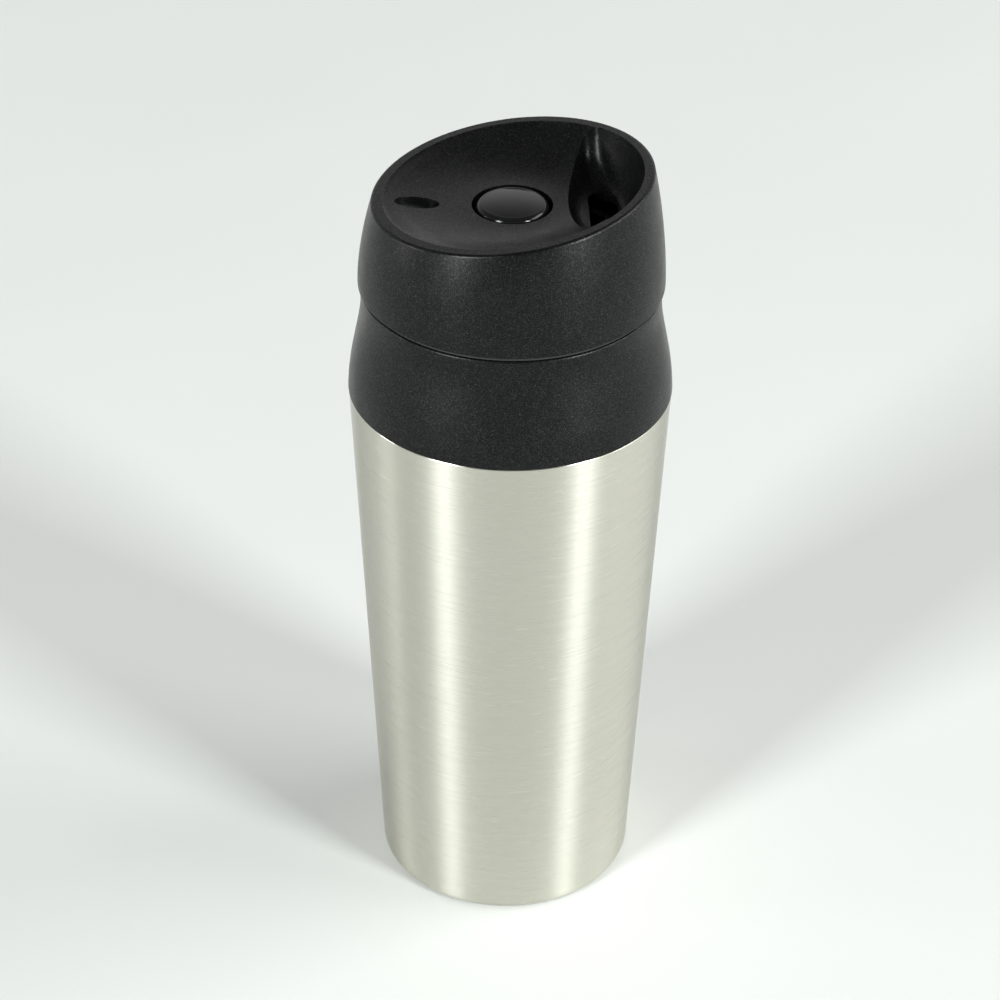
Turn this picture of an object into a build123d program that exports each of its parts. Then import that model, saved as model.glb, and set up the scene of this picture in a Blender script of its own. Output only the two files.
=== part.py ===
from build123d import *

import os
from math import cos, radians, sin, sqrt

# Insulated travel mug with a screw lid and a push-button valve.
# Millimetres, +Z up. The origin is the middle of the underside, on the mug's axis.
# +X points to the high side of the lid, where the drinking scoop is.
# Names that end in _z are heights and names that end in _r are radii from the axis.

os.makedirs("parts", exist_ok=True)

# ---- Driving dimensions ----------------------------------------------------
BASE_R = 33.0            # outer wall where it meets the ground
SHOULDER_R = 40.0        # outer wall at its top edge
SHOULDER_Z = 145.3
CORNER_R = 2.0           # rounded bottom corner
STEEL = 0.5              # thickness of both steel walls
VACUUM = 2.6             # gap between the walls
FOOT = 0.4               # how far the base pad stands proud of the steel

NECK_R = 33.0            # bore of the steel mouth
MOUTH_Z = 159.0          # top of the steel mouth
NECK_GAP = 0.3           # gap between the walls in the neck

COLLAR_TOP_Z = 173.2
COLLAR_TOP_R = 36.6
SEAM_Z = 174.2           # lower edge of the lid cover
LID_R = 37.3
RIM_R = 33.7
RIM_Z = 200.5            # height of the rim on the axis
RIM_TILT = 7.8           # degrees, rising towards +X
RIM_BAND = 2.7           # width of the flat rim
LID_CURVE = 1.8          # how late the side of the lid turns in
LID_WALL = 2.2

DISH_Z = 194.8           # dish floor round the button
DISH_FLOOR_R = 11.0
DISH_CURVE = 2.0         # how late the dish flattens out towards its floor
BUTTON_R = 8.8
WELL_R = 9.75
STROKE = 6.0             # full travel of the button and the valve

SCOOP_LEFT = 12.9        # inner edge of the scoop from the axis
SCOOP_MIDDLE = 25.0      # middle of the oval that bounds the scoop
SCOOP_LENGTH = 56.0
SCOOP_FLOOR_Z = 192.2
SCOOP_FLOOR_R = 26.4     # outer edge of the scoop's floor
SCOOP_CORNER = 3.0
SPOUT_RADIUS = 22.0      # drinking hole from the axis
HOLE_WIDTH = 7.2
HOLE_LENGTH = 21.0

STEM_R = 2.5
TOWER_R = 9.65           # dry tower that holds the click mechanism
TOWER_WALL = 1.65
CORE_WALL = 2.0
SKIRT_R = 31.8           # lid plug below the thread
PLUG_Z = 144.0           # underside of the lid plug
VALVE_OPENING_R = 13.0

THREAD_STARTS = 3
THREAD_LEAD = 12.0
THREAD_ROOT_R = 33.2     # on the lid plug
THREAD_CREST_R = 34.6
NUT_THREAD_ROOT_R = 35.0   # in the collar
NUT_THREAD_CREST_R = 34.0
RIDGE_DEGREES = 80.0
RIDGE_THICK = 1.5

TOUCH = 0.05             # gap between pieces that only touch
SLIDE = 0.08             # gap of a running fit
PRESSED = 0.02           # gap of pieces that are pressed or screwed together


def section(points, corners=()):
    """Closed outline of (radius, height) points; corners are (point number, fillet radius)."""
    with BuildSketch(Plane.XZ) as outline:
        with BuildLine():
            Polyline(*points, close=True)
        make_face()
        for number, radius in corners:
            fillet(outline.vertices().sort_by_distance(points[number])[0], radius)
    return outline.sketch


def ring_section(inner, outer, bottom, top, corner=0):
    """Rectangular section of a ring, with all four corners rounded when corner is given."""
    points = [(inner, bottom), (outer, bottom), (outer, top), (inner, top)]
    return section(points, [(number, corner) for number in range(4)] if corner else ())


def wall_r(z):
    """Radius of the outer steel wall at a height."""
    return BASE_R + (SHOULDER_R - BASE_R) * z / SHOULDER_Z


def tilted_plane(height, tilt):
    """Plane across the axis that rises towards +X by tilt degrees."""
    return Plane(origin=(0, 0, height), x_dir=(cos(radians(tilt)), 0, sin(radians(tilt))),
                 z_dir=(-sin(radians(tilt)), 0, cos(radians(tilt))))


def tilted_disc(height, tilt, radius):
    """Section of an upright cylinder by a tilted plane."""
    with BuildSketch(tilted_plane(height, tilt)) as disc:
        Ellipse(radius / cos(radians(tilt)), radius)
    return disc.sketch


def thread_ridge(root, crest, height):
    """One helical ridge from root radius to crest radius, which starts at height."""
    middle = (root + crest) / 2
    inward = 1 if crest < root else -1
    with BuildPart() as ridge:
        with BuildLine(Plane.XY.offset(height)) as path:
            Helix(THREAD_LEAD, THREAD_LEAD * RIDGE_DEGREES / 360, middle)
        start = Plane(origin=path.line @ 0, x_dir=(1, 0, 0), z_dir=path.line % 0)
        with BuildSketch(start):
            with BuildLine():
                root_x = root - middle + inward * 0.3
                crest_x = crest - middle
                Polyline((root_x, -RIDGE_THICK / 2 - 0.3), (crest_x, -RIDGE_THICK / 2 + 0.3),
                         (crest_x, RIDGE_THICK / 2 - 0.3), (root_x, RIDGE_THICK / 2 + 0.3), close=True)
            make_face()
        sweep(is_frenet=True)
    return ridge.part


# ---- Steel body ------------------------------------------------------------
steel_z = FOOT
neck_outer_r = NECK_R + 2 * STEEL + NECK_GAP
base_opening_r = 26.8

with BuildPart() as outer_shell:
    outside = [(base_opening_r, steel_z), (wall_r(steel_z), steel_z), (SHOULDER_R, SHOULDER_Z),
               (neck_outer_r, SHOULDER_Z), (neck_outer_r, MOUTH_Z - STEEL), (base_opening_r, MOUTH_Z - STEEL)]
    revolve(section(outside, [(1, CORNER_R), (2, 0.4)]), axis=Axis.Z)
    inside = [(0, steel_z + STEEL), (wall_r(steel_z) - STEEL, steel_z + STEEL),
              (SHOULDER_R - STEEL, SHOULDER_Z - STEEL), (neck_outer_r - STEEL, SHOULDER_Z - STEEL),
              (neck_outer_r - STEEL, MOUTH_Z), (0, MOUTH_Z)]
    revolve(section(inside, [(1, CORNER_R - STEEL)]), axis=Axis.Z, mode=Mode.SUBTRACT)
outer_shell.part.label = "outer_shell"

liner_floor_z = steel_z + STEEL + 6.0
liner_gap = STEEL + VACUUM
liner_corner_r = 6.0
liner_waist_r = 4.0       # bend where the liner starts to narrow towards the neck
liner_neck_r = 2.0        # bend at the foot of the neck
liner_waist_z = SHOULDER_Z - 8.0

with BuildPart() as inner_cup:
    outside = [(0, liner_floor_z), (wall_r(liner_floor_z) - liner_gap, liner_floor_z),
               (wall_r(liner_waist_z) - liner_gap, liner_waist_z), (NECK_R + STEEL, SHOULDER_Z),
               (NECK_R + STEEL, MOUTH_Z - STEEL), (neck_outer_r, MOUTH_Z - STEEL),
               (neck_outer_r, MOUTH_Z), (0, MOUTH_Z)]
    revolve(section(outside, [(1, liner_corner_r), (2, liner_waist_r), (3, liner_neck_r)]), axis=Axis.Z)
    inside = [(0, liner_floor_z + STEEL), (wall_r(liner_floor_z) - liner_gap - STEEL, liner_floor_z + STEEL),
              (wall_r(liner_waist_z) - liner_gap - STEEL, liner_waist_z), (NECK_R, SHOULDER_Z),
              (NECK_R, MOUTH_Z + 1), (0, MOUTH_Z + 1)]
    bends = [(1, liner_corner_r - STEEL), (2, liner_waist_r - STEEL), (3, liner_neck_r + STEEL)]
    revolve(section(inside, bends), axis=Axis.Z, mode=Mode.SUBTRACT)
inner_cup.part.label = "inner_cup"

base_plate_z = steel_z + STEEL + TOUCH
base_plate_top_z = base_plate_z + STEEL + 0.1
seal_hole_r = 1.2         # evacuation hole
seal_bead_height = 0.7
getter_r = 5.0
getter_offset = 14.0
getter_thick = 1.8
groove_width = 1.0        # grip rings under the pad
groove_depth = 0.25

with BuildPart() as base_plate:
    with BuildSketch(Plane.XY.offset(base_plate_z)):
        Circle(base_opening_r + 1.8)
        Circle(seal_hole_r, mode=Mode.SUBTRACT)
    extrude(amount=base_plate_top_z - base_plate_z)
base_plate.part.label = "base_plate"

with BuildPart() as vacuum_seal:
    bead_top_z = base_plate_top_z + seal_bead_height
    bead = [(0, base_plate_z), (seal_hole_r, base_plate_z), (seal_hole_r, base_plate_top_z),
            (2 * seal_hole_r, base_plate_top_z), (2 * seal_hole_r, bead_top_z), (0, bead_top_z)]
    revolve(section(bead, [(4, seal_bead_height - 0.1)]), axis=Axis.Z)
vacuum_seal.part.label = "vacuum_seal"

with BuildPart() as getter:
    with BuildSketch(Plane.XY.offset(base_plate_top_z)):
        with Locations((getter_offset, 0)):
            Circle(getter_r)
    extrude(amount=getter_thick)
    chamfer(getter.edges().group_by(Axis.Z)[-1], 0.4)
getter.part.label = "getter"

with BuildPart() as base_pad:
    with BuildSketch():
        Circle(base_opening_r - 0.3)
    extrude(amount=base_plate_z - TOUCH)
    fillet(base_pad.edges().group_by(Axis.Z)[0], 0.3)
    with BuildSketch(Plane.XY):
        for radius in (10, 18):
            Circle(radius + groove_width / 2)
            Circle(radius - groove_width / 2, mode=Mode.SUBTRACT)
    extrude(amount=groove_depth, mode=Mode.SUBTRACT)
base_pad.part.label = "base_pad"

# ---- Collar ----------------------------------------------------------------
collar_z = SHOULDER_Z + TOUCH
collar_bore_r = neck_outer_r + 0.1
sleeve_r = collar_bore_r + 1.6
seal_top_z = SHOULDER_Z + 1.0
collar_wall = 1.8
waist_z = COLLAR_TOP_Z - 5.2
waist_r = COLLAR_TOP_R + 0.1
swell_z = SHOULDER_Z + 9
swell_r = SHOULDER_R - 0.9
ledge_z = MOUTH_Z + 0.1
pocket_top_r = SHOULDER_R - 3.5
pocket_top_z = swell_z + 4
thread_z = MOUTH_Z + 5.2


def collar_outside(inset=0.0):
    """Outline from the collar's foot to its top, moved inwards by inset."""
    with BuildLine() as curve:
        Spline((SHOULDER_R + 0.1 - inset, collar_z), (swell_r - inset, swell_z), (waist_r - inset, waist_z),
               (COLLAR_TOP_R - inset, COLLAR_TOP_Z), tangents=((-0.05, 1), (0, 1)))
    return curve.line


with BuildPart() as collar:
    with BuildSketch(Plane.XZ):
        with BuildLine():
            edge = add(collar_outside())
            Polyline((COLLAR_TOP_R, COLLAR_TOP_Z), (0, COLLAR_TOP_Z), (0, collar_z),
                     (SHOULDER_R + 0.1, collar_z))
        make_face()
    revolve(axis=Axis.Z)
    fillet(collar.edges().group_by(Axis.Z)[-1], 0.5)
    bore = [(0, collar_z - 1), (sleeve_r, collar_z - 1), (sleeve_r, seal_top_z), (collar_bore_r, seal_top_z),
            (collar_bore_r, ledge_z), (NUT_THREAD_ROOT_R, ledge_z), (NUT_THREAD_ROOT_R, COLLAR_TOP_Z + 1),
            (0, COLLAR_TOP_Z + 1)]
    revolve(section(bore), axis=Axis.Z, mode=Mode.SUBTRACT)
    pocket = [(sleeve_r, collar_z - 1), (SHOULDER_R - collar_wall, collar_z - 1),
              (SHOULDER_R - collar_wall - 0.6, swell_z), (pocket_top_r, pocket_top_z),
              (sleeve_r, pocket_top_z - 1)]
    revolve(section(pocket), axis=Axis.Z, mode=Mode.SUBTRACT)
    with PolarLocations(0, THREAD_STARTS):
        add(thread_ridge(NUT_THREAD_ROOT_R, NUT_THREAD_CREST_R, thread_z))
collar.part.label = "collar"

with BuildPart() as collar_seal:
    revolve(ring_section(collar_bore_r, sleeve_r, SHOULDER_Z, seal_top_z, 0.2), axis=Axis.Z)
collar_seal.part.label = "collar_seal"

# ---- Lid cover ---------------------------------------------------------------
cavity_top_z = DISH_Z - LID_WALL
cavity_r = LID_R - LID_WALL
cavity_foot_z = SEAM_Z + 5.0    # the cavity narrows above this height
well_boss_r = WELL_R + 1.5
well_foot_z = SEAM_Z + 0.8
dish_r = RIM_R - RIM_BAND
dish_tilt_curve = 1.5     # how soon the dish levels out below the tilted rim
scoop_mouth_r = dish_r + 0.6
scoop_mouth_z = RIM_Z + 1.8
scoop_inner_slope = 3.3   # how far the scoop's inner face runs out towards the button
scoop_end_slope = 15.0    # how far each end of the scoop runs out
foot_edge_r = 0.5
rim_edge_r = 0.8
lid_sections = 5
dish_sections = 9
scoop_sections = 5
vent_length = 10.8
vent_width = 5.6
vent_slope = 10.0
vent_floor_z = DISH_Z - 0.7    # middle of the vent's sloping floor
vent_x = -23.0
air_hole_x = -19.1
air_hole_r = 0.9


def lid_section(part):
    """Outer section of the lid, from the round seam (part 0) to the tilted rim (part 1)."""
    radius = LID_R - (LID_R - RIM_R) * part ** LID_CURVE
    return tilted_disc(SEAM_Z + (RIM_Z - SEAM_Z) * part, RIM_TILT * part, radius)


def dish_section(part):
    """Section of the dish, from the rim (part 0) down to its floor (part 1)."""
    height = DISH_Z + (RIM_Z - DISH_Z) * (1 - part) ** DISH_CURVE
    tilt = RIM_TILT * (1 - part) ** dish_tilt_curve
    return tilted_disc(height, tilt, dish_r + (DISH_FLOOR_R - dish_r) * part)


def scoop_section(part, grow):
    """Outline of the drinking scoop, from its floor (part 0) to just above the rim (part 1)."""
    half_width = SCOOP_MIDDLE - SCOOP_LEFT - scoop_inner_slope * (1 - part) ** 4 + grow
    half_length = SCOOP_LENGTH / 2 - scoop_end_slope * (1 - part) ** 2 + grow
    outer = scoop_mouth_r - (scoop_mouth_r - SCOOP_FLOOR_R) * (1 - part) ** 1.6 + grow
    height = SCOOP_FLOOR_Z - grow + (scoop_mouth_z - SCOOP_FLOOR_Z) * part ** 1.6
    with BuildSketch(tilted_plane(height, RIM_TILT * part ** 1.5)) as outline:
        with Locations((SCOOP_MIDDLE, 0)):
            Ellipse(half_width, half_length)
        Circle(outer, mode=Mode.INTERSECT)
        fillet(outline.vertices(), SCOOP_CORNER)
    return outline.sketch


def scoop(grow):
    """Drinking scoop as a solid, grown outwards by grow."""
    return loft([scoop_section(number / scoop_sections, grow) for number in range(scoop_sections + 1)])


lid_blank = loft([lid_section(number / lid_sections) for number in range(lid_sections + 1)])
scoop_space = scoop(0)
scoop_wall = scoop(LID_WALL) & lid_blank

with BuildPart() as lid_cover:
    add(lid_blank)
    fillet(lid_cover.edges().group_by(Axis.Z)[0], foot_edge_r)
    fillet(lid_cover.edges().group_by(Axis.Z)[-1], rim_edge_r)
    cavity = [(0, SEAM_Z - 1), (cavity_r, SEAM_Z - 1), (cavity_r, cavity_foot_z), (dish_r - 1.5, cavity_top_z),
              (well_boss_r, cavity_top_z), (well_boss_r, well_foot_z), (0, well_foot_z)]
    revolve(section(cavity, [(3, 3.0)]), axis=Axis.Z, mode=Mode.SUBTRACT)
    add(scoop_wall)
    loft([tilted_disc(RIM_Z + 2, RIM_TILT, dish_r + 0.3)]
         + [dish_section(number / dish_sections) for number in range(dish_sections + 1)], mode=Mode.SUBTRACT)
    add(scoop_space, mode=Mode.SUBTRACT)
    with BuildSketch(Plane.XY.offset(SEAM_Z)):
        Circle(WELL_R)
    extrude(amount=RIM_Z, mode=Mode.SUBTRACT)
    with BuildSketch(Plane.XY.offset(cavity_foot_z)):
        with Locations((SPOUT_RADIUS, 0)):
            SlotOverall(HOLE_LENGTH, HOLE_WIDTH, rotation=90)
    extrude(amount=RIM_Z, mode=Mode.SUBTRACT)
    with BuildSketch(Plane(Pos(vent_x, 0, vent_floor_z) * Rotation(0, vent_slope, 0))):
        Ellipse(vent_length / 2, vent_width / 2)
    extrude(amount=8, mode=Mode.SUBTRACT)
    with BuildSketch(Plane.XY.offset(cavity_top_z - 1)):
        with Locations((air_hole_x, 0)):
            Circle(air_hole_r)
    extrude(amount=5, mode=Mode.SUBTRACT)
lid_cover.part.label = "lid_cover"

# ---- Lid plug: skirt with the thread, valve seat and flange --------------------
shoulder_z = MOUTH_Z + 1.6
flange_z = SEAM_Z - 0.8
lid_flange_r = LID_R - 1.1
spigot_r = cavity_r - TOUCH
spigot_top_z = SEAM_Z + 3.6
skirt_bore_r = SKIRT_R - CORE_WALL
male_thread_z = thread_z - THREAD_LEAD / THREAD_STARTS / 2
gasket_height = 1.0

with BuildPart() as lid_plug:
    plug = [(VALVE_OPENING_R, PLUG_Z), (SKIRT_R, PLUG_Z), (SKIRT_R, shoulder_z), (THREAD_ROOT_R, shoulder_z),
            (THREAD_ROOT_R, flange_z), (lid_flange_r, flange_z), (lid_flange_r, SEAM_Z), (spigot_r, SEAM_Z),
            (spigot_r, spigot_top_z), (spigot_r - CORE_WALL, spigot_top_z), (spigot_r - CORE_WALL, SEAM_Z + 1),
            (THREAD_ROOT_R - CORE_WALL, flange_z - 1), (THREAD_ROOT_R - CORE_WALL, shoulder_z + 1),
            (skirt_bore_r, shoulder_z - 1), (skirt_bore_r, PLUG_Z + CORE_WALL),
            (VALVE_OPENING_R, PLUG_Z + CORE_WALL)]
    revolve(section(plug, [(1, 1.5), (14, 1.0)]), axis=Axis.Z)
    with PolarLocations(0, THREAD_STARTS):
        add(thread_ridge(THREAD_ROOT_R, THREAD_CREST_R, male_thread_z))
lid_plug.part.label = "lid_plug"

# ---- Click tower: dry cup for the mechanism, held in the plug by its webs ------
tower_floor_z = PLUG_Z + 8.0
tower_top_z = SEAM_Z + 3.8
tower_bore_r = TOWER_R - TOWER_WALL
guide_r = 4.6             # tube under the tower, in which the stem's ring slides
web_count = 4
web_thick = 1.8
web_root_r = TOWER_R - 0.8
web_end_r = skirt_bore_r - TOUCH

with BuildPart() as click_tower:
    tower = [(0, tower_floor_z), (TOWER_R, tower_floor_z), (TOWER_R, tower_top_z), (0, tower_top_z)]
    revolve(section(tower, [(1, 1.0)]), axis=Axis.Z)
    with BuildSketch(Plane.XY.offset(tower_floor_z)):
        with PolarLocations((web_root_r + web_end_r) / 2, web_count, start_angle=45):
            Rectangle(web_end_r - web_root_r, web_thick)
    extrude(amount=shoulder_z - 1 - tower_floor_z)
    with BuildSketch(Plane.XY.offset(PLUG_Z)):
        Circle(guide_r)
    extrude(amount=tower_floor_z - PLUG_Z)
    with BuildSketch(Plane.XY.offset(tower_floor_z + CORE_WALL)):
        Circle(tower_bore_r)
    extrude(amount=tower_top_z, mode=Mode.SUBTRACT)
    with BuildSketch(Plane.XY.offset(PLUG_Z)):
        Circle(STEM_R + SLIDE)
    extrude(amount=tower_floor_z + CORE_WALL - PLUG_Z, mode=Mode.SUBTRACT)
click_tower.part.label = "click_tower"

with BuildPart() as lid_seal:
    revolve(ring_section(SKIRT_R + TOUCH, NUT_THREAD_CREST_R - 0.3, MOUTH_Z + TOUCH, shoulder_z - TOUCH, 0.3),
            axis=Axis.Z)
lid_seal.part.label = "lid_seal"

with BuildPart() as core_gasket:
    revolve(ring_section(spigot_r - CORE_WALL + 0.2, spigot_r - 0.1, spigot_top_z + TOUCH,
                         spigot_top_z + gasket_height, 0.2), axis=Axis.Z)
core_gasket.part.label = "core_gasket"

# ---- Click mechanism and spring, inside the dry tower -------------------------
seat_z = tower_floor_z + CORE_WALL
seat_thick = 0.8
rotor_z = seat_z + 17.5
rotor_height = 3.5
rotor_r = 5.9
tooth_r = 7.0
tooth_height = 4.0
tooth_count = 4
sleeve_bore_r = tooth_r + 0.2
sleeve_z = rotor_z - 1.5
sleeve_top_z = tower_top_z + 1.6
lug_z = rotor_z + rotor_height + 0.4
lug_degrees = 30.0
tooth_degrees = 18.0
tooth_middle = -16.0      # each tooth turns 45 degrees from here over the whole stroke
spring_r = 4.6
spring_wire_r = 0.45
spring_turns = 6

with BuildPart() as spring_seat:
    with BuildSketch(Plane.XY.offset(seat_z)):
        Circle(tower_bore_r - 0.2)
        Circle(STEM_R + 0.3, mode=Mode.SUBTRACT)
    extrude(amount=seat_thick)
spring_seat.part.label = "spring_seat"

spring_low_z = seat_z + seat_thick + spring_wire_r + TOUCH
spring_high_z = rotor_z - spring_wire_r - TOUCH

with BuildPart() as return_spring:
    with BuildLine(Plane.XY.offset(spring_low_z)) as coil:
        Helix((spring_high_z - spring_low_z) / spring_turns, spring_high_z - spring_low_z, spring_r)
    with BuildSketch(Plane(origin=coil.line @ 0, z_dir=coil.line % 0)):
        Circle(spring_wire_r)
    sweep(is_frenet=True)
return_spring.part.label = "return_spring"


def sector(inner, outer, degrees, middle):
    """Piece of a flat ring between two radii, degrees wide, centred on the angle middle."""
    with BuildSketch() as piece:
        with BuildLine():
            low = middle - degrees / 2
            arc_out = CenterArc((0, 0), outer, low, degrees)
            arc_in = CenterArc((0, 0), inner, low, degrees)
            Line(arc_in @ 0, arc_out @ 0)
            Line(arc_in @ 1, arc_out @ 1)
        make_face()
    return piece.sketch


with BuildPart() as cam_sleeve:
    with BuildSketch(Plane.XY.offset(sleeve_z)):
        Circle(tower_bore_r - TOUCH)
        Circle(sleeve_bore_r, mode=Mode.SUBTRACT)
    extrude(amount=sleeve_top_z - sleeve_z)
    with BuildSketch(Plane.XY.offset(lug_z)):
        for number in range(tooth_count):
            add(sector(rotor_r + 0.25, sleeve_bore_r + 0.3, lug_degrees, 45 + number * 360 / tooth_count))
    extrude(amount=sleeve_top_z - lug_z)
cam_sleeve.part.label = "cam_sleeve"

with BuildPart() as click_rotor:
    with BuildSketch(Plane.XY.offset(rotor_z)):
        Circle(rotor_r)
    extrude(amount=rotor_height)
    with BuildSketch(Plane.XY.offset(rotor_z + 1.0)):
        for number in range(tooth_count):
            add(sector(rotor_r - 0.8, tooth_r, tooth_degrees, number * 360 / tooth_count + tooth_middle))
    extrude(amount=rotor_height + tooth_height - 1.0)
    with BuildSketch(Plane.XY.offset(rotor_z)):
        Circle(STEM_R + SLIDE)
    extrude(amount=rotor_height, mode=Mode.SUBTRACT)
click_rotor.part.label = "click_rotor"

# ---- Plunger: button, stem and valve -------------------------------------------
button_rim_z = DISH_Z + 0.5
button_crown = 0.6
button_corner = 1.5
button_thick = 2.2
button_wall = 1.6
button_skirt_z = DISH_Z - 5.6
groove_r = BUTTON_R - 0.6    # groove for the wiper seal
wiper_z = button_skirt_z + 1.25
wiper_height = 1.1
wiper_taper = 0.35
boss_r = 4.2
boss_z = rotor_z + rotor_height + tooth_height + 3.0
stem_top_z = button_rim_z - button_thick - 0.5
stem_shoulder_r = 3.6
plate_r = 18.0
plate_top_z = PLUG_Z - 2.0
plate_thick = 2.0
hub_r = 5.0
hub_z = plate_top_z - 4.0
nut_height = 3.0
nut_across = 9.0
foot_r = 2.0              # thin foot of the stem, through the plate and the nut
stem_low_z = hub_z - nut_height - 0.5
o_ring_z = tower_floor_z - 1.6
o_ring_depth = 0.7

with BuildPart() as push_button:
    with BuildSketch(Plane.XZ):
        with BuildLine():
            face_r = BUTTON_R - button_corner
            rise = ThreePointArc((0, button_rim_z + button_crown),
                                 (face_r / 2, button_rim_z + button_crown * 0.76),
                                 (face_r, button_rim_z))
            corner = RadiusArc(rise @ 1, (BUTTON_R, button_rim_z - button_corner), button_corner)
            Polyline(corner @ 1, (BUTTON_R, button_skirt_z), (BUTTON_R - button_wall, button_skirt_z),
                     (BUTTON_R - button_wall, button_rim_z - button_thick),
                     (boss_r, button_rim_z - button_thick), (boss_r, boss_z), (0, boss_z), rise @ 0)
        make_face()
    revolve(axis=Axis.Z)
    seal_groove = ring_section(groove_r, BUTTON_R + 1, wiper_z - TOUCH, wiper_z + wiper_height + TOUCH)
    revolve(seal_groove, axis=Axis.Z, mode=Mode.SUBTRACT)
    with BuildSketch(Plane.XY.offset(boss_z)):
        Circle(STEM_R)
    extrude(amount=stem_top_z - boss_z, mode=Mode.SUBTRACT)
push_button.part.label = "push_button"

with BuildPart() as button_seal:
    wiper_top_z = wiper_z + wiper_height
    wiper = [(groove_r + TOUCH, wiper_z), (BUTTON_R + 0.2, wiper_z), (WELL_R - TOUCH, wiper_z + wiper_taper),
             (WELL_R - TOUCH, wiper_top_z - wiper_taper), (BUTTON_R + 0.2, wiper_top_z),
             (groove_r + TOUCH, wiper_top_z)]
    revolve(section(wiper), axis=Axis.Z)
button_seal.part.label = "button_seal"

with BuildPart() as valve_stem:
    tip_r = STEM_R - PRESSED
    shoulder_low_z = rotor_z + rotor_height + TOUCH
    rod = [(0, stem_low_z), (foot_r, stem_low_z), (foot_r, plate_top_z), (STEM_R, plate_top_z),
           (STEM_R, shoulder_low_z), (stem_shoulder_r, shoulder_low_z), (stem_shoulder_r, boss_z - TOUCH),
           (tip_r, boss_z - TOUCH), (tip_r, stem_top_z - TOUCH), (0, stem_top_z - TOUCH)]
    revolve(section(rod, [(1, 0.4)]), axis=Axis.Z)
    groove = ring_section(STEM_R - o_ring_depth, STEM_R + 1, o_ring_z, o_ring_z + 1.3)
    revolve(groove, axis=Axis.Z, mode=Mode.SUBTRACT)
valve_stem.part.label = "valve_stem"

with BuildPart() as stem_o_ring:
    revolve(ring_section(STEM_R - o_ring_depth, STEM_R + TOUCH, o_ring_z + 0.1, o_ring_z + 1.2, 0.25),
            axis=Axis.Z)
stem_o_ring.part.label = "stem_o_ring"

with BuildPart() as valve_plate:
    with BuildSketch(Plane.XY.offset(plate_top_z - plate_thick)):
        Circle(plate_r)
    extrude(amount=plate_thick)
    fillet(valve_plate.edges().group_by(Axis.Z)[0], 1.2)
    with BuildSketch(Plane.XY.offset(hub_z)):
        Circle(hub_r)
    extrude(amount=plate_top_z - hub_z)
    with BuildSketch(Plane.XY.offset(hub_z)):
        Circle(foot_r + PRESSED)
    extrude(amount=plate_top_z - hub_z, mode=Mode.SUBTRACT)
valve_plate.part.label = "valve_plate"

with BuildPart() as valve_seal:
    revolve(ring_section(VALVE_OPENING_R + 0.6, plate_r - 0.4, plate_top_z, PLUG_Z - TOUCH, 0.4), axis=Axis.Z)
valve_seal.part.label = "valve_seal"

with BuildPart() as valve_nut:
    with BuildSketch(Plane.XY.offset(hub_z - nut_height)):
        RegularPolygon(nut_across / 2, 6, major_radius=False)
        Circle(foot_r + PRESSED, mode=Mode.SUBTRACT)
    extrude(amount=nut_height)
    chamfer(valve_nut.edges().group_by(Axis.Z)[0].filter_by(GeomType.LINE), 0.3)
valve_nut.part.label = "valve_nut"

# ---- Write one file for each piece ----------------------------------------------
pieces = [outer_shell, inner_cup, base_plate, vacuum_seal, getter, base_pad, collar, collar_seal,
          lid_seal, lid_cover, lid_plug, click_tower, core_gasket, cam_sleeve, spring_seat,
          return_spring, click_rotor, push_button, button_seal, valve_stem, stem_o_ring,
          valve_plate, valve_seal, valve_nut]
for piece in pieces:
    export_step(piece.part, f"parts/{piece.part.label}.step")
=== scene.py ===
import math

import bmesh
import bpy
from mathutils import Matrix, Vector


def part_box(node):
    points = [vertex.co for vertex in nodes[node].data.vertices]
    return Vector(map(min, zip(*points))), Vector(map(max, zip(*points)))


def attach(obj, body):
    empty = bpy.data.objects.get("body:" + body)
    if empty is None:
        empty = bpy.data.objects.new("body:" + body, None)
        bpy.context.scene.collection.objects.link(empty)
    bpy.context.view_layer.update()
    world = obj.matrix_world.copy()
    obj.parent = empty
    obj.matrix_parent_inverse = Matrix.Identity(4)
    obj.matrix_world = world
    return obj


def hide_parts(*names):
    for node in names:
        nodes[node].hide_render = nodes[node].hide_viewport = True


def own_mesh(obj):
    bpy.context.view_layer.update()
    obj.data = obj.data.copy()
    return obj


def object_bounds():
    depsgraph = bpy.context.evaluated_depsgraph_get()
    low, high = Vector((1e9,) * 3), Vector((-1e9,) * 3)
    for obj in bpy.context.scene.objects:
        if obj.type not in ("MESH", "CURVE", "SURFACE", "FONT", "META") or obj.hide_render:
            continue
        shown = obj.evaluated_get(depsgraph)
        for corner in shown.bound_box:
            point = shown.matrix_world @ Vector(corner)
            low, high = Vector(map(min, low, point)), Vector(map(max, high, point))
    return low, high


# An insulated travel mug on a pale studio floor: brushed steel body, charcoal plastic collar and lid.

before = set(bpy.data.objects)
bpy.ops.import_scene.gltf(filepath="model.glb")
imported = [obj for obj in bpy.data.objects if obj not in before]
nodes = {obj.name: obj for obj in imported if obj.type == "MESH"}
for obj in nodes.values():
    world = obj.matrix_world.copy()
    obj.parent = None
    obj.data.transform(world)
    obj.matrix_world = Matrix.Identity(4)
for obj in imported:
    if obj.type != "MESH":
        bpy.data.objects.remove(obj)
cad_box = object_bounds()

MM = 0.001
TOP_Z = cad_box[1][2]


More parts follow.
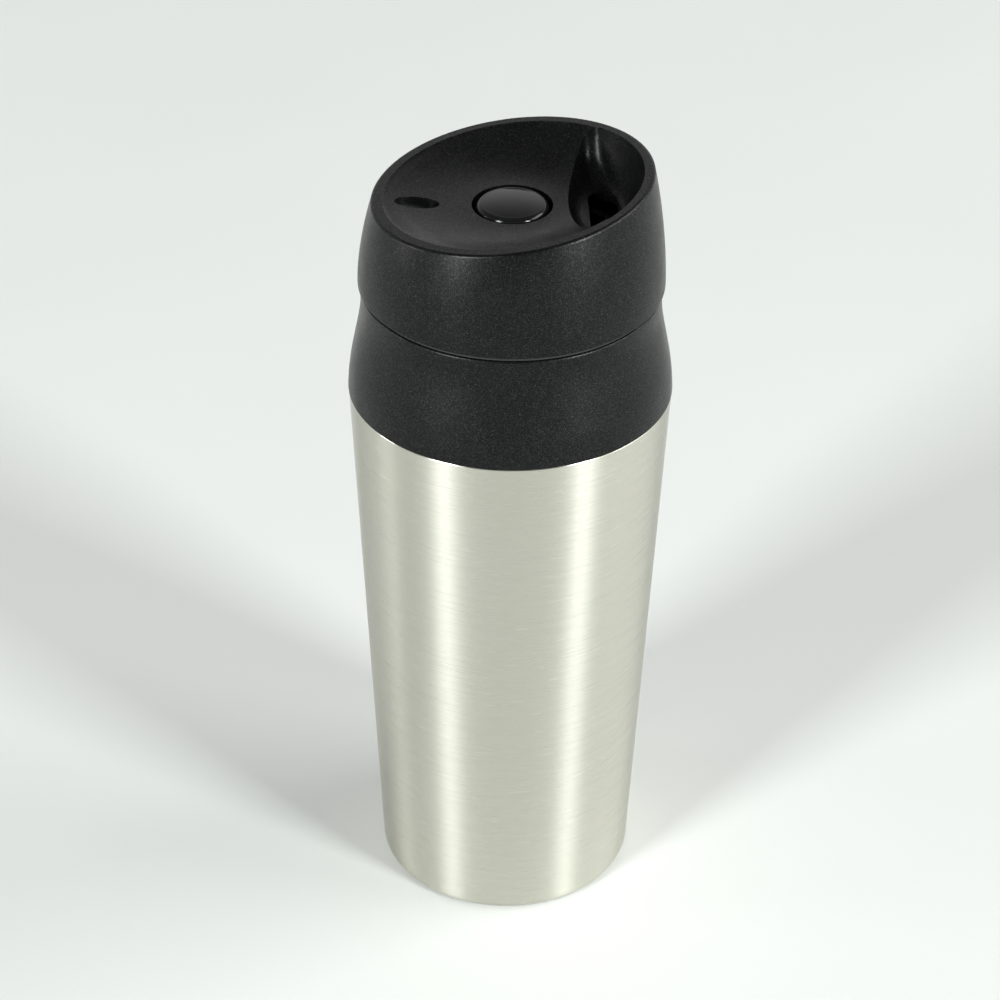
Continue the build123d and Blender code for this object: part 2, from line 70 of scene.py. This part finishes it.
# ---- Node helpers ------------------------------------------------------------
class Material:
    """A Principled material with short calls to add and join nodes."""

    def __init__(self, name, **sockets):
        self.material = bpy.data.materials.new(name)
        self.material.use_nodes = True
        self.tree = self.material.node_tree
        self.shader = self.tree.nodes["Principled BSDF"]
        for key, value in sockets.items():
            self.shader.inputs[key.replace("_", " ")].default_value = value
        self.coords = self.node("ShaderNodeTexCoord").outputs["Object"]

    def node(self, kind, **settings):
        made = self.tree.nodes.new(kind)
        for key, value in settings.items():
            setattr(made, key, value)
        return made

    def link(self, source, target):
        self.tree.links.new(source, target)

    def stretched(self, scale):
        """Object coordinates in metres, multiplied by a scale on each axis."""
        mapping = self.node("ShaderNodeMapping")
        mapping.inputs["Scale"].default_value = scale
        self.link(self.coords, mapping.inputs["Vector"])
        return mapping.outputs["Vector"]

    def noise(self, scale, detail=3.0, rough=0.5):
        """Noise value with a number of features per metre on each axis."""
        made = self.node("ShaderNodeTexNoise")
        made.inputs["Scale"].default_value = 1.0
        made.inputs["Detail"].default_value = detail
        made.inputs["Roughness"].default_value = rough
        self.link(self.stretched(scale), made.inputs["Vector"])
        return made.outputs["Fac"]

    def spots(self, scale):
        """A random grey value for each small cell, with a number of cells per metre."""
        made = self.node("ShaderNodeTexVoronoi")
        made.inputs["Scale"].default_value = scale
        self.link(self.coords, made.inputs["Vector"])
        split = self.node("ShaderNodeSeparateColor")
        self.link(made.outputs["Color"], split.inputs["Color"])
        return split.outputs[0], made.outputs["Distance"]

    def ramp(self, value, low, high, to_low=0.0, to_high=1.0):
        """Maps a value between low and high, with both ends held."""
        made = self.node("ShaderNodeMapRange")
        made.inputs["From Min"].default_value = low
        made.inputs["From Max"].default_value = high
        made.inputs["To Min"].default_value = to_low
        made.inputs["To Max"].default_value = to_high
        self.link(value, made.inputs["Value"])
        return made.outputs["Result"]

    def math(self, operation, first, second):
        made = self.node("ShaderNodeMath", operation=operation)
        for socket, value in zip(made.inputs, (first, second)):
            if isinstance(value, (int, float)):
                socket.default_value = value
            else:
                self.link(value, socket)
        return made.outputs[0]

    def mix(self, factor, first, second):
        """Colour mix: first where factor is 0, second where it is 1."""
        made = self.node("ShaderNodeMix", data_type="RGBA")
        self.link(factor, made.inputs["Factor"])
        for name, value in (("A_Color", first), ("B_Color", second)):
            socket = next(s for s in made.inputs if s.identifier == name)
            if isinstance(value, tuple):
                socket.default_value = (*value, 1.0)
            else:
                self.link(value, socket)
        return next(s for s in made.outputs if s.identifier == "Result_Color")

    def colour(self, value):
        self.link(value, self.shader.inputs["Base Color"])

    def roughness(self, value):
        self.link(value, self.shader.inputs["Roughness"])

    def bump(self, height, depth, strength=1.0):
        """Bump from a 0 to 1 height that stands for depth in metres."""
        made = self.node("ShaderNodeBump")
        made.inputs["Distance"].default_value = depth
        made.inputs["Strength"].default_value = strength
        self.link(height, made.inputs["Height"])
        self.link(made.outputs["Normal"], self.shader.inputs["Normal"])


# ---- Materials ----------------------------------------------------------------
def brushed_steel():
    """Satin stainless steel, brushed round the body, with a few stray scratches."""
    steel = Material("steel_outside", Metallic=1.0, Anisotropic=0.92, Anisotropic_Rotation=0.25)
    fine = steel.noise((70, 70, 11000), detail=4.0, rough=0.6)
    broad = steel.noise((25, 25, 4000), detail=3.0)
    blotch = steel.noise((30, 30, 18), detail=2.0)
    scratch = steel.ramp(steel.noise((150, 150, 5200), detail=1.0), 0.74, 0.78)
    grain = steel.math("ADD", steel.math("MULTIPLY", fine, 0.75), steel.math("MULTIPLY", broad, 0.25))
    tone = steel.mix(steel.ramp(grain, 0.35, 0.65), (0.562, 0.556, 0.482), (0.612, 0.606, 0.528))
    warm = steel.mix(steel.ramp(blotch, 0.35, 0.65, 0.0, 0.3), tone, (0.60, 0.58, 0.525))
    steel.colour(steel.mix(scratch, warm, (0.80, 0.80, 0.76)))
    steel.roughness(steel.ramp(grain, 0.3, 0.7, 0.26, 0.31))
    tangent = steel.node("ShaderNodeTangent", direction_type="RADIAL", axis="Z")
    steel.link(tangent.outputs[0], steel.shader.inputs["Tangent"])
    steel.bump(grain, 0.005 * MM, 0.3)
    return steel.material


def drawn_steel(name, tone=0.62):
    """Bright inner steel with a fine drawn grain."""
    steel = Material(name, Metallic=1.0)
    grain = steel.noise((300, 300, 2600), detail=3.0)
    haze = steel.noise((90, 90, 60), detail=3.0)
    dark = (tone * 0.9, tone * 0.89, tone * 0.86)
    light = (tone, tone, tone * 0.97)
    steel.colour(steel.mix(steel.ramp(grain, 0.35, 0.65), dark, light))
    steel.roughness(steel.ramp(steel.math("ADD", grain, haze), 0.7, 1.3, 0.22, 0.36))
    steel.bump(grain, 0.02 * MM, 0.3)
    return steel.material


def speckled_plastic(name, dark, light, rough=0.5):
    """Charcoal plastic with fine metallic flakes and a lightly textured skin; the flakes' lighter colour
    is partly their own and partly painted glint.
    """
    plastic = Material(name)
    flake_and_glint = plastic.spots(7000)[0]
    large_flake_and_glint = plastic.ramp(plastic.spots(4200)[0], 0.96, 1.0)
    cloud = plastic.noise((160, 160, 160), detail=3.0)
    base = plastic.mix(plastic.ramp(cloud, 0.35, 0.65), dark, tuple(1.25 * c for c in dark))
    # Flake cells painted lighter than the base, and the large ones lighter still: partly the flakes' own
    # colour, partly painted glint.
    with_flakes_and_glints = plastic.mix(plastic.ramp(flake_and_glint, 0.80, 0.95), base, light)
    plastic.colour(plastic.mix(large_flake_and_glint, with_flakes_and_glints, tuple(1.5 * c for c in light)))
    shine = plastic.math("ADD", plastic.ramp(flake_and_glint, 0.5, 1.0, 0.13, 0.36),
                         plastic.math("MULTIPLY", large_flake_and_glint, 0.2))
    plastic.link(shine, plastic.shader.inputs["Specular IOR Level"])
    skin = plastic.noise((4200, 4200, 4200), detail=2.0)
    plastic.roughness(plastic.ramp(plastic.math("ADD", cloud, skin), 0.7, 1.3, rough - 0.05, rough + 0.07))
    plastic.bump(skin, 0.02 * MM, 0.4)
    return plastic.material


def moulded_plastic(name, colour, rough=0.4):
    """Plain moulded plastic with a faint skin texture and slight tone changes."""
    plastic = Material(name)
    cloud = plastic.noise((120, 120, 120), detail=4.0)
    skin = plastic.noise((2500, 2500, 2500), detail=2.0)
    plastic.colour(plastic.mix(plastic.ramp(cloud, 0.3, 0.7), colour, tuple(0.86 * c for c in colour)))
    plastic.roughness(plastic.ramp(skin, 0.3, 0.7, rough - 0.06, rough + 0.06))
    plastic.bump(skin, 0.02 * MM, 0.3)
    return plastic.material


def button_plastic():
    """Glossier charcoal plastic of the button, with fingertip smudges and hairline marks."""
    plastic = Material("button_plastic", Specular_IOR_Level=0.33)
    smudge = plastic.noise((220, 160, 200), detail=5.0)
    marks = plastic.ramp(plastic.noise((900, 5200, 900), detail=1.0), 0.68, 0.75)
    clean = (0.004, 0.004, 0.0043)
    smudged = (0.007, 0.007, 0.0073)
    plastic.colour(plastic.mix(plastic.ramp(smudge, 0.3, 0.7), clean, smudged))
    plastic.roughness(plastic.math("ADD", plastic.ramp(smudge, 0.35, 0.7, 0.06, 0.13),
                                   plastic.math("MULTIPLY", marks, 0.15)))
    plastic.bump(smudge, 0.03 * MM, 0.2)
    return plastic.material


def silicone(name, colour):
    """Soft silicone: milky, slightly translucent, with a faint dusty bloom."""
    rubber = Material(name, Subsurface_Weight=0.25, Subsurface_Scale=0.8 * MM, Sheen_Weight=0.2)
    bloom = rubber.noise((400, 400, 400), detail=4.0)
    dusty = tuple(min(1.0, 1.12 * c) for c in colour)
    rubber.colour(rubber.mix(rubber.ramp(bloom, 0.3, 0.7), colour, dusty))
    rubber.roughness(rubber.ramp(bloom, 0.3, 0.7, 0.38, 0.55))
    rubber.bump(bloom, 0.03 * MM, 0.3)
    return rubber.material


def pad_rubber():
    """Matt foot pad with a fine grained skin and rubbed patches."""
    rubber = Material("soft_rubber")
    grain = rubber.noise((1800, 1800, 1800), detail=2.0)
    rub = rubber.noise((60, 60, 60), detail=4.0)
    rubber.colour(rubber.mix(rubber.ramp(rub, 0.45, 0.7), (0.020, 0.020, 0.021), (0.045, 0.044, 0.042)))
    rubber.roughness(rubber.ramp(rub, 0.4, 0.7, 0.85, 0.65))
    rubber.bump(grain, 0.08 * MM, 0.6)
    return rubber.material


def getter_metal():
    """Dark pressed metal powder."""
    metal = Material("getter_metal", Metallic=0.8)
    grain, edge = metal.spots(5000)
    metal.colour(metal.mix(grain, (0.08, 0.08, 0.085), (0.20, 0.20, 0.20)))
    metal.roughness(metal.ramp(grain, 0.0, 1.0, 0.55, 0.8))
    metal.bump(edge, 0.05 * MM, 0.6)
    return metal.material


def solder_glass():
    """Melted glass bead with a few trapped bubbles."""
    glass = Material("glass_solder", Transmission_Weight=0.35, IOR=1.5)
    swirl = glass.noise((900, 900, 900), detail=5.0)
    glass.colour(glass.mix(glass.ramp(swirl, 0.4, 0.6), (0.36, 0.38, 0.37), (0.62, 0.64, 0.62)))
    glass.roughness(glass.ramp(swirl, 0.3, 0.7, 0.06, 0.2))
    glass.bump(swirl, 0.03 * MM, 0.3)
    return glass.material


def floor_paint():
    """Pale seamless studio floor."""
    paint = Material("studio_floor", Specular_IOR_Level=0.2)
    cloud = paint.noise((5, 5, 5), detail=3.0)
    paint.colour(paint.mix(paint.ramp(cloud, 0.3, 0.7), (0.665, 0.68, 0.655), (0.685, 0.70, 0.675)))
    paint.roughness(paint.ramp(cloud, 0.3, 0.7, 0.7, 0.8))
    return paint.material


def paint_nodes():
    """Gives every CAD node its finish."""
    # The second, lighter colour is for the flakes: partly their own colour, partly painted glint.
    shell = speckled_plastic("shell_plastic", (0.0022, 0.0023, 0.0023), (0.010, 0.0105, 0.010), rough=0.30)
    inner = moulded_plastic("inner_plastic", (0.022, 0.022, 0.023), rough=0.42)
    inside = drawn_steel("steel_inside")
    wire = drawn_steel("spring_steel", 0.68)
    acetal = moulded_plastic("white_acetal", (0.74, 0.74, 0.71), rough=0.32)
    clear = silicone("clear_silicone", (0.62, 0.63, 0.62))
    dark = silicone("black_silicone", (0.03, 0.03, 0.03))
    finishes = {
        brushed_steel(): ["outer_shell"],
        inside: ["inner_cup", "base_plate"],
        solder_glass(): ["vacuum_seal"],
        getter_metal(): ["getter"],
        pad_rubber(): ["base_pad"],
        shell: ["collar", "lid_cover"],
        button_plastic(): ["push_button"],
        inner: ["lid_plug", "click_tower", "valve_plate", "valve_nut"],
        acetal: ["cam_sleeve", "click_rotor", "valve_stem"],
        wire: ["spring_seat", "return_spring"],
        clear: ["collar_seal", "lid_seal", "core_gasket", "valve_seal"],
        dark: ["button_seal", "stem_o_ring"],
    }
    for material, names in finishes.items():
        for name in names:
            slots = nodes[name].data.materials
            slots.clear()
            slots.append(material)
    return wire


# ---- Spring ---------------------------------------------------------------------
WIRE = 0.45 * MM        # radius of the wire
SPRING_TURNS = 8
CLOSED_TURNS = 1        # at each end
TURN_STEPS = 48
WIRE_SIDES = 10


def coil_height(turn, bottom, top):
    """Height of the wire's centre after a number of turns; the first and last turns lie closed."""
    closed_rise = 2.1 * WIRE
    open_turns = SPRING_TURNS - 2 * CLOSED_TURNS
    open_share = min(max((turn - CLOSED_TURNS) / open_turns, 0.0), 1.0)
    end_share = min(turn, CLOSED_TURNS) + max(0.0, turn - (SPRING_TURNS - CLOSED_TURNS))
    return bottom + end_share * closed_rise + open_share * (top - bottom - 2 * CLOSED_TURNS * closed_rise)


def coil_mesh(low, high):
    """Mesh of the wire, wound up the axis between the corners low and high of a box."""
    radius = high[0] - WIRE
    up = Vector((0, 0, 1))
    mesh = bmesh.new()
    rings = []
    for step in range(SPRING_TURNS * TURN_STEPS + 1):
        turn = step / TURN_STEPS
        angle = 2 * math.pi * turn
        out = Vector((math.cos(angle), math.sin(angle), 0))
        centre = radius * out + coil_height(turn, low[2] + WIRE, high[2] - WIRE) * up
        ring = []
        for side in range(WIRE_SIDES):
            around = 2 * math.pi * side / WIRE_SIDES
            ring.append(mesh.verts.new(centre + WIRE * (math.cos(around) * out + math.sin(around) * up)))
        rings.append(ring)
    for first, second in zip(rings, rings[1:]):
        for side in range(WIRE_SIDES):
            follow = (side + 1) % WIRE_SIDES
            mesh.faces.new((first[side], first[follow], second[follow], second[side]))
    mesh.faces.new(list(reversed(rings[0])))
    mesh.faces.new(rings[-1])
    bmesh.ops.recalc_face_normals(mesh, faces=mesh.faces)
    data = bpy.data.meshes.new("coil_spring")
    mesh.to_mesh(data)
    mesh.free()
    data.shade_smooth()
    return data


def coil_spring(material):
    """Compression spring with closed ends, between its seat and the click rotor."""
    low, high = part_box("return_spring")
    data = coil_mesh(low, high)
    data.materials.append(material)
    spring = bpy.data.objects.new("coil_spring", data)
    bpy.context.scene.collection.objects.link(spring)
    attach(spring, "lid")
    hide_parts("return_spring")
    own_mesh(spring)


# ---- Studio -----------------------------------------------------------------------
def studio_floor():
    """Wide pale floor under the mug."""
    half_width = 3.0
    mesh = bmesh.new()
    bmesh.ops.create_grid(mesh, x_segments=12, y_segments=12, size=half_width)
    data = bpy.data.meshes.new("studio_floor")
    mesh.to_mesh(data)
    mesh.free()
    data.materials.append(floor_paint())
    floor = bpy.data.objects.new("studio_floor", data)
    bpy.context.scene.collection.objects.link(floor)


def soft_box(name, azimuth, elevation, distance, width, height, power, colour=(1, 1, 1)):
    """Rectangular soft light that faces the mug.

    Azimuth is in degrees from the camera's side, positive to the right; power is in watts.
    """
    target = Vector((0, 0, 0.5 * TOP_Z))
    turn = math.radians(azimuth - 90)
    lift = math.radians(elevation)
    away = Vector((math.cos(turn) * math.cos(lift), math.sin(turn) * math.cos(lift), math.sin(lift)))
    light = bpy.data.lights.new(name, "AREA")
    light.shape = "RECTANGLE"
    light.size = width
    light.size_y = height
    light.energy = power
    light.color = colour
    lamp = bpy.data.objects.new(name, light)
    facing = away.to_track_quat("Z", "Y").to_matrix().to_4x4()
    lamp.matrix_world = Matrix.Translation(target + distance * away) @ facing
    bpy.context.scene.collection.objects.link(lamp)


def world_node(tree, kind, **inputs):
    """New node in the world's tree, with some of its inputs set."""
    made = tree.nodes.new(kind)
    for key, value in inputs.items():
        made.inputs[key.replace("_", " ")].default_value = value
    return made


def pale_room():
    """World light: palest low down behind the mug and dim in front of it and overhead."""
    world = bpy.data.worlds.new("pale_room")
    world.use_nodes = True
    tree = world.node_tree
    room = tree.nodes["Background"]
    room.inputs["Color"].default_value = (0.96, 0.965, 0.955, 1.0)
    direction = tree.nodes.new("ShaderNodeTexCoord").outputs["Generated"]
    facing = tree.nodes.new("ShaderNodeVectorMath")
    facing.operation = "DOT_PRODUCT"
    facing.inputs[1].default_value = (0.3, 0.95, 0.0)
    level = world_node(tree, "ShaderNodeMapRange", From_Min=-1.0, To_Min=0.15, To_Max=0.85)
    height = tree.nodes.new("ShaderNodeSeparateXYZ")
    ceiling = world_node(tree, "ShaderNodeMapRange", From_Min=0.42, From_Max=0.80, To_Min=1.0, To_Max=0.26)
    strength = tree.nodes.new("ShaderNodeMath")
    strength.operation = "MULTIPLY"
    joins = [(direction, facing.inputs[0]),
             (direction, height.inputs[0]),
             (facing.outputs["Value"], level.inputs["Value"]),
             (height.outputs["Z"], ceiling.inputs["Value"]),
             (level.outputs["Result"], strength.inputs[0]),
             (ceiling.outputs["Result"], strength.inputs[1]),
             (strength.outputs[0], room.inputs["Strength"])]
    for source, target in joins:
        tree.links.new(source, target)
    bpy.context.scene.world = world


def studio_light():
    """Two upright soft boxes in front of the mug, and a card on each side."""
    daylight = (0.94, 0.97, 0.985)
    for name, azimuth in (("left_box", -46), ("right_box", 49)):
        soft_box(name, azimuth, 20, distance=4.0, width=0.88, height=2.8, power=185, colour=daylight)
    soft_box("right_card", 92, 28, distance=4.0, width=2.9, height=2.7, power=110)
    soft_box("left_card", -90, 7, distance=3.0, width=0.7, height=0.9, power=18)
    bpy.context.scene.view_settings.view_transform = "Standard"


def photo_camera():
    """Camera that looks down at the mug from the front, slightly turned about the axis."""
    distance = 0.763
    target = Vector((0, 0, 0.1094))
    elevation = math.radians(34.42)
    azimuth = math.radians(2.0)
    roll = math.radians(0.68)
    level = math.cos(elevation)
    forward = Vector((level * math.sin(azimuth), level * math.cos(azimuth), -math.sin(elevation)))
    right = forward.cross(Vector((0, 0, 1))).normalized()
    up = right.cross(forward)
    turned = Matrix((right, up, -forward)).transposed() @ Matrix.Rotation(roll, 3, "Z")
    data = bpy.data.cameras.new("photo_camera")
    data.sensor_width = 36
    data.lens = 108
    data.shift_x = -0.0089
    camera = bpy.data.objects.new("photo_camera", data)
    camera.matrix_world = Matrix.Translation(target - distance * forward) @ turned.to_4x4()
    bpy.context.scene.collection.objects.link(camera)
    bpy.context.scene.camera = camera


wire_material = paint_nodes()
coil_spring(wire_material)
studio_floor()
pale_room()
studio_light()
photo_camera()
